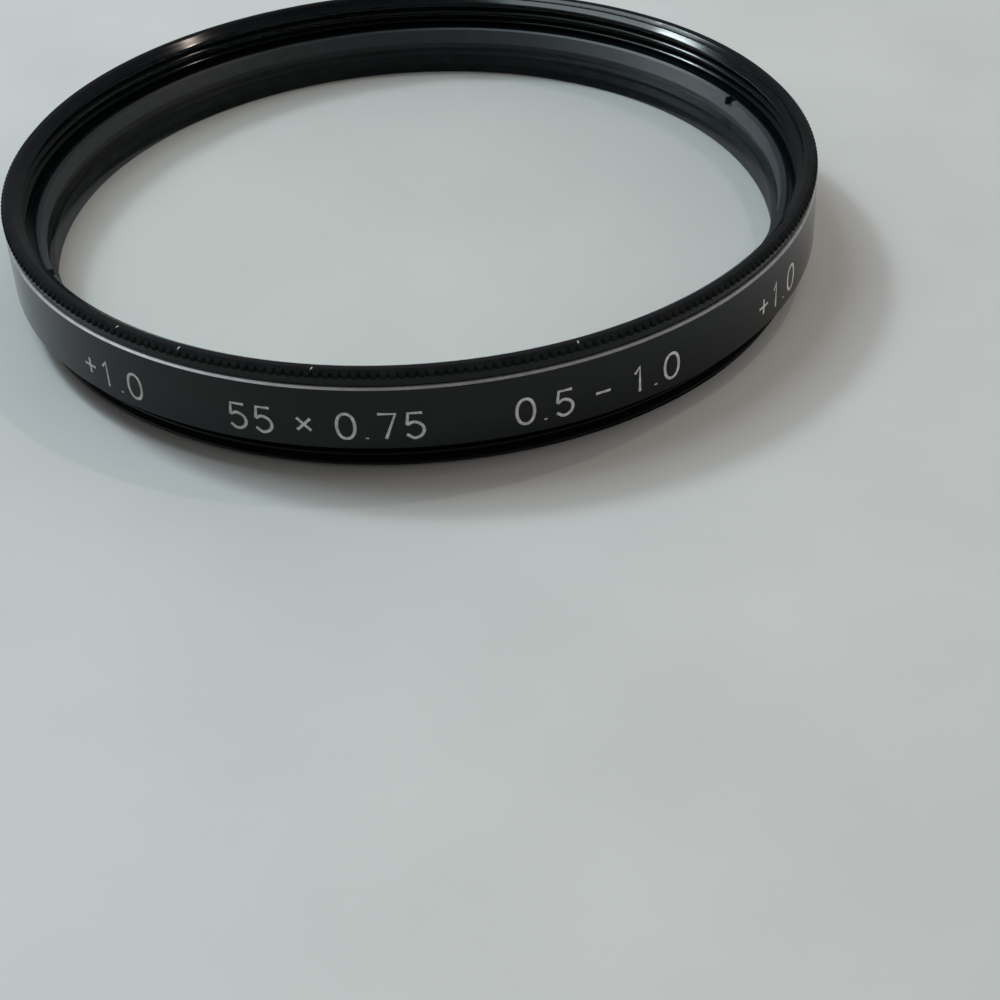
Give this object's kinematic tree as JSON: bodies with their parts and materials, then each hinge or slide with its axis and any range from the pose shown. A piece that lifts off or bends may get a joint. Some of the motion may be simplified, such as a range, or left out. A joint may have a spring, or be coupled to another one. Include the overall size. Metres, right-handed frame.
{
  "type": "screw-in lens filter",
  "caption": "Round screw-in close-up lens: knurled black rim with a male thread behind, a female thread in front, a weak clear lens and a slotted retaining ring.",
  "frame": {"origin": "centre of the rear face, which the filter lies on", "axes": "+Z along the optical axis, out of the front thread; -Y towards the viewer of the band"},
  "size_m": [0.057, 0.057, 0.0078],
  "materials": {
    "rim_anodise": "satin black anodised, with a bright bare-metal cut line",
    "lens_glass": "clear polished optical glass",
    "ring_anodise": "satin black anodised"
  },
  "bodies": {
    "root": {"filter_rim": "rim_anodise", "lens_element": "lens_glass", "retaining_ring": "ring_anodise"}
  },
  "joints": []
}
